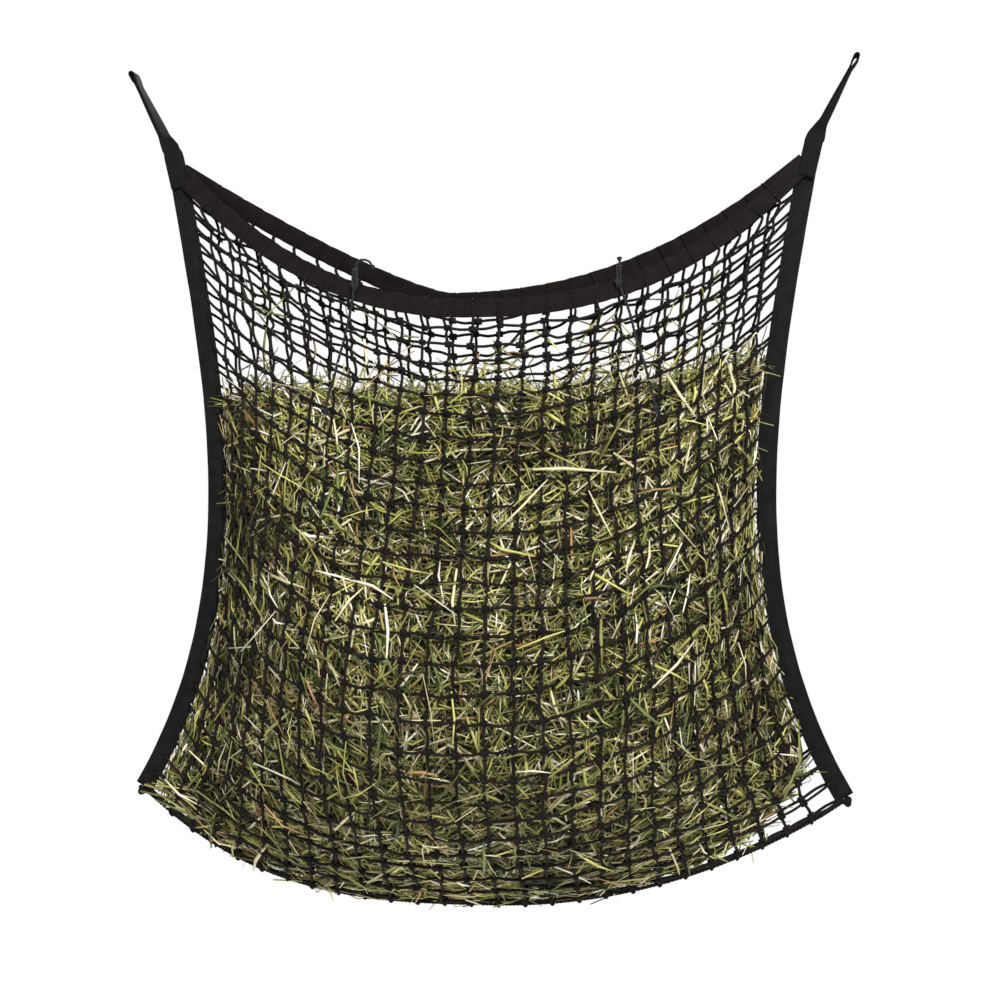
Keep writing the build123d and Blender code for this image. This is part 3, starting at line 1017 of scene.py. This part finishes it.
def stems(centres, along, out, length, width, bend, seed, taper=(0.75, 1.0, 0.45)):
    """Slender closed stems, each three rings of four points."""
    side = unit(np.cross(out, along))
    out = np.cross(along, side)
    t = np.array([-0.5, 0.0, 0.5])
    spine = centres[:, None] + along[:, None] * (length[:, None] * t)[..., None]
    spine = spine + side[:, None] * (bend[:, :1] * (0.25 - t * t) * 4)[..., None]
    spine = spine + out[:, None] * (bend[:, 1:] * (0.25 - t * t) * 4)[..., None]
    wide = width[:, None] * np.array(taper) / 2
    offsets = [side[:, None] * wide[..., None], out[:, None] * wide[..., None] * 0.55]
    rings = np.stack([spine + offsets[0], spine + offsets[1], spine - offsets[0], spine - offsets[1]], 2)
    ring, corner = np.meshgrid([0, 1], [0, 1, 2, 3], indexing="ij")
    turned = (corner + 1) % 4
    faces = quads(ring * 4, ring * 4 + 4, corner, turned)
    faces = np.concatenate([faces, [(3, 2, 1, 0), (8, 9, 10, 11)]])
    faces = faces[None] + np.arange(len(centres))[:, None, None] * 12
    lay = np.zeros((len(centres), 3, 4, 3))
    lay[..., 0] = (length[:, None] * t)[..., None] + seed[:, None, None] * 40
    lay[..., 1] = np.array([0, 1, 2, 3]) * 0.0006
    lay[..., 2] = seed[:, None, None]
    return Shape(rings.reshape(-1, 3), faces.reshape(-1, 4), lay.reshape(-1, 3))


def stem_numbers(count, rng):
    """Length, width, bend and shade of that many stems."""
    length = np.clip(rng.gamma(4.5, 0.0118, count), 0.018, 0.14)
    width = np.clip(rng.gamma(7.0, 0.00042, count), 0.0014, 0.0058)
    bend = rng.normal(0, 0.055, (count, 2)) * length[:, None]
    return length, width, bend, rng.random(count)


def surface_stems(panel, count, rng):
    """Stems that lie against a net's inner side, every way up, some through its meshes."""
    u, v = hay_places(panel, count, rng)
    east, down, out = net_frames(panel, u, v)
    beside, under = smoothstep((np.abs(u) - 0.92) / 0.06), smoothstep((v - 0.91) / 0.07)
    turn = rng.uniform(-math.pi / 2, math.pi / 2, count) * (1 - 0.75 * np.maximum(beside, under))
    angle = (turn + np.where(beside > under, math.pi / 2, 0))[:, None]
    flat = east * np.cos(angle) + down * np.sin(angle)
    outermost = rng.random(count) > 0.965
    tilt = np.clip(rng.normal(0, 0.13, count), -0.5, 0.5)[:, None]
    along = unit(flat * np.cos(tilt) + out * np.sin(tilt))
    nearness = rng.random(count) ** 0.75
    depth = np.where(outermost, 0.0045, -0.026 + 0.021 * nearness)
    room = 0.85 * np.abs(net_point(panel, u, v)[:, 1])
    centres = net_point(panel, u, v, np.maximum(depth, -room))
    length, width, bend, seed = stem_numbers(count, rng)
    # deeper stems get a lower seed and so a darker colour: painted shade for the shadow inside the hay
    seed = seed * np.where(outermost, 1, 0.15 + 0.85 * nearness)
    return stems(centres, along, out, length, width, bend, seed)


def top_stems(count, rng):
    """Loose stems lying over the top of the hay and standing out of it."""
    u, across = rng.uniform(-0.95, 0.93, count), rng.random(count)
    rise = np.abs(rng.normal(0, 0.010, count)) - 0.006
    rise += (rng.random(count) > 0.94) * rng.uniform(0, 0.05, count)
    front, back = (net_point(panel, u, hay_start(panel, u), -0.01) for panel in (FRONT, BACK))
    centres = front + (back - front) * across[:, None]
    centres[:, 2] += rise
    angle, tilt = rng.uniform(0, 2 * math.pi, count), rng.normal(0, 0.42, count)
    along = np.stack([np.cos(angle) * np.cos(tilt), 0.6 * np.sin(angle) * np.cos(tilt), np.sin(tilt)], -1)
    length, width, bend, seed = stem_numbers(count, rng)
    return stems(centres, unit(along), np.array([0.1, 0.1, 1.0]) + 0 * along, length, width, bend, seed)


def stray_stems(count, rng):
    """Single stems caught in the empty upper net, over the bindings and under the bottom edge."""
    shapes = []
    for panel, share in ((FRONT, 0.6), (BACK, 0.4)):
        some = int(count * share * 0.45)
        u = rng.uniform(-0.85, 0.9, some)
        v = hay_start(panel, u) * (1 - rng.random(some) ** 1.8 * 0.75)
        east, down, out = net_frames(panel, u, v)
        angle = rng.uniform(0, math.pi, some)[:, None]
        along = unit(east * np.cos(angle) + down * np.sin(angle) + out * rng.normal(0, 0.25, (some, 1)))
        shapes.append(stems(net_point(panel, u, v, -0.003), along, out, *stem_numbers(some, rng)))
        some = int(count * share * 0.55)
        under = some * 6 // 10
        u = np.concatenate([rng.uniform(-0.9, 0.82, under), rng.choice([-0.97, 0.95], some - under)])
        v = np.where(np.abs(u) > 0.9, rng.uniform(0.35, 0.97, some), rng.uniform(0.965, 1.0, some))
        east, down, out = net_frames(panel, u, v)
        angle = rng.normal(0, 0.7, some)[:, None]
        along = unit(down * np.cos(angle) + east * np.sin(angle) + out * rng.normal(0, 0.2, (some, 1)))
        sideways = (np.abs(u) > 0.9)[:, None]
        along = np.where(sideways, unit(east * np.cos(angle) + down * np.sin(angle)), along)
        length, width, bend, seed = stem_numbers(some, rng)
        shapes.append(stems(net_point(panel, u, v, 0.002), along, out, length * 0.8, width, bend, seed))
    return joined(shapes)


def make_core(rng):
    """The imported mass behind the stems, closed and lumpy."""
    inset, across_count, down_count, over_count = 0.016, 90, 70, 14
    u = np.linspace(-0.992, 0.988, across_count)
    grids = []
    for panel in (FRONT, BACK):
        top, low = hay_start(panel, u), hay_low(u)
        share = np.linspace(0, 1, down_count)[:, None]
        v = top + (low - 0.003 - top) * share
        depth = -np.minimum(inset, 0.9 * np.abs(net_point(panel, u[None], v)[..., 1]))
        grid = net_point(panel, np.broadcast_to(u, v.shape), v, depth + rng.normal(0, 0.0015, v.shape))
        grid[..., 1] = panel.facing * np.maximum(np.abs(grid[..., 1]), 0.0008)
        grids.append(grid)
    front, back = grids
    over = np.linspace(0, 1, over_count + 2)[1:-1, None, None]
    cap = back[:1] * (1 - over) + front[:1] * over
    cap[..., 2] += 0.008 * np.sin(np.pi * over[..., 0]) + rng.normal(0, 0.003, cap.shape[:2])
    sheet = np.concatenate([back[::-1], cap, front])
    rows, columns = sheet.shape[:2]
    row, column = np.meshgrid(np.arange(rows), np.arange(columns - 1), indexing="ij")
    following = (row + 1) % rows
    faces = quads(row * columns, following * columns, column, column + 1)
    ends = []
    for edge in (0, columns - 1):
        for i in range(rows // 2 - 1):
            ring = [i, i + 1, rows - 2 - i, rows - 1 - i]
            ring = ring if edge == 0 else ring[::-1]
            ends.append([k * columns + edge for k in ring])
    shape = Shape(sheet.reshape(-1, 3), np.concatenate([faces, ends]), np.zeros((rows * columns, 3)))
    # the core's near-black colour is painted shade for the hay deep between the stems
    made = piece("hay_core_painted_shade", shape, painted_shade_core_material(), ["hay_fill"])
    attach(made, "bag")


def make_hay(rng):
    """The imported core, and the stems of each shade in front, behind, on top and astray."""
    make_core(rng)
    numbers = (15500, 9500, 2600, 420)
    for name, (dark, light, share) in HAY_COLOURS.items():
        front, back, top, stray = (int(number * share) for number in numbers)
        shapes = [
            surface_stems(FRONT, front, rng),
            surface_stems(BACK, back, rng),
            top_stems(top, rng),
            stray_stems(stray, rng),
        ]
        made = piece(f"hay_stems_{name}", joined(shapes), stem_material(f"hay_{name}", dark, light))
        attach(made, "bag")


# ---- the whole bag

make_camera()
for side in ("left", "right"):
    make_tie(side)
make_stage()
for number, (side, sign) in enumerate((("left", -1), ("right", 1))):
    make_binding(side, sign, np.random.default_rng(10 + number))
    make_strap(side, sign)
for number, panel in enumerate((FRONT, BACK)):
    make_rim(panel, np.random.default_rng(30 + number))
    make_net(panel, np.random.default_rng(40 + number))
make_lacing()
make_hay(np.random.default_rng(60))
